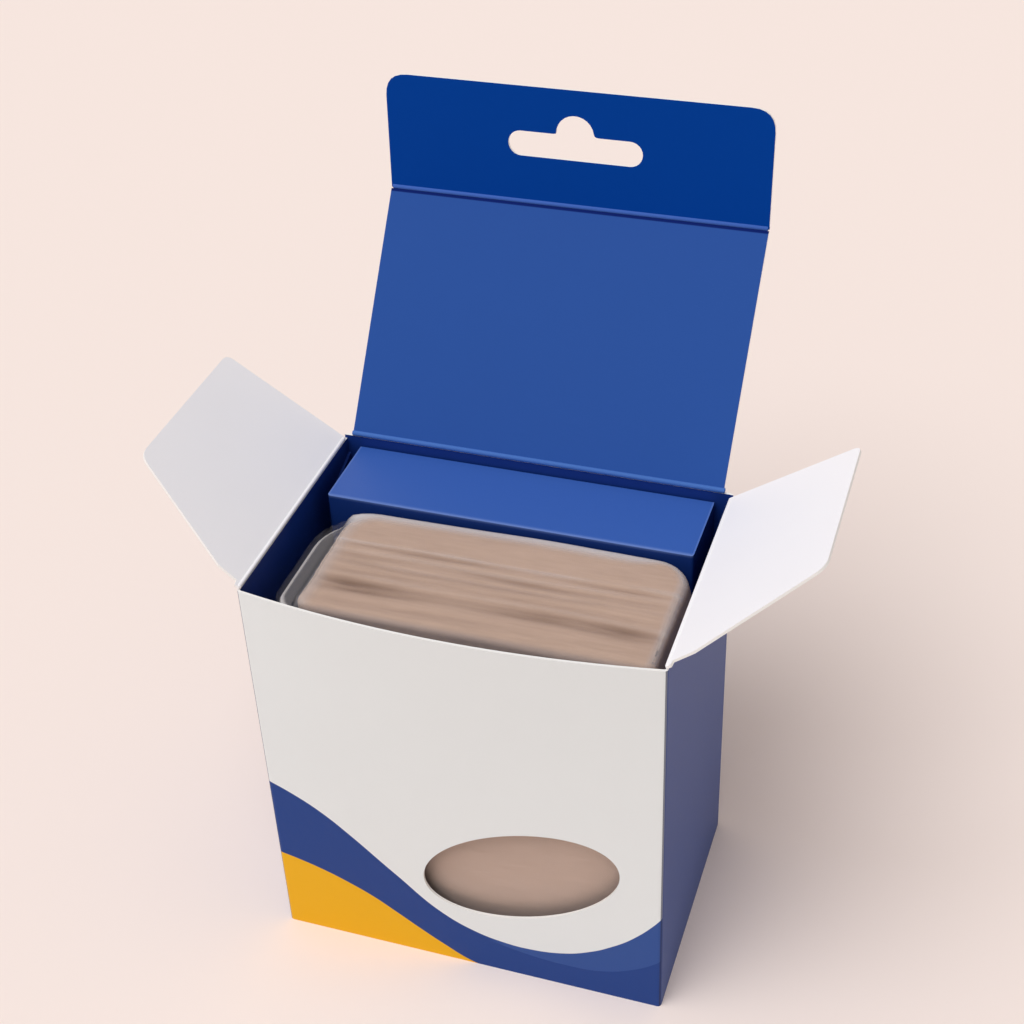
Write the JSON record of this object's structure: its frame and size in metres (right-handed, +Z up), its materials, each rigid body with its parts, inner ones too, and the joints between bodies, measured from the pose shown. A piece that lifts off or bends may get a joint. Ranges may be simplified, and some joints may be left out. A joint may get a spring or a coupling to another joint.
{
  "type": "hosiery packaging box",
  "caption": "Open folding carton with a hinged lid, slotted hanging tab, dust flaps, oval window, card spacer and a bagged hosiery bundle.",
  "frame": {"origin": "middle of the carton's underside, on the plane that it stands on", "axes": "+X to the right seen from the front, +Y from the front wall to the back wall, +Z up"},
  "size_m": [0.1508, 0.1039, 0.1819],
  "materials": {
    "carton_board": "satin print",
    "blue_board": "satin print",
    "tab_board": "satin print",
    "white_board": "matt",
    "spacer_card": "satin print",
    "clear_film": "clear gloss",
    "knit": "fine knit"
  },
  "bodies": {
    "carton": {"carton_body": "carton_board", "spacer_insert": "spacer_card", "film_bag": "clear_film", "hosiery_bundle": "knit"},
    "lid": {"lid_panel": "blue_board"},
    "tab": {"hang_tab": "tab_board"},
    "left_flap": {"left_dust_flap": "white_board"},
    "right_flap": {"right_dust_flap": "white_board"}
  },
  "joints": [
    {"name": "lid_fold", "type": "hinge", "parent": "carton", "child": "lid", "pos_m": [0, 0.0305, 0.10665], "axis": [1, 0, 0], "range_deg": [-82, 125]},
    {"name": "tab_fold", "type": "hinge", "parent": "lid", "child": "tab", "pos_m": [0, 0.06744, 0.15393], "axis": [1, 0, 0], "range_deg": [-35, 58]},
    {"name": "left_flap_fold", "type": "hinge", "parent": "carton", "child": "left_flap", "pos_m": [-0.0472, 0, 0.10575], "axis": [0, 1, 0], "range_deg": [-64, 146]},
    {"name": "right_flap_fold", "type": "hinge", "parent": "carton", "child": "right_flap", "pos_m": [0.0472, 0, 0.10575], "axis": [0, -1, 0], "range_deg": [-65, 145]}
  ]
}
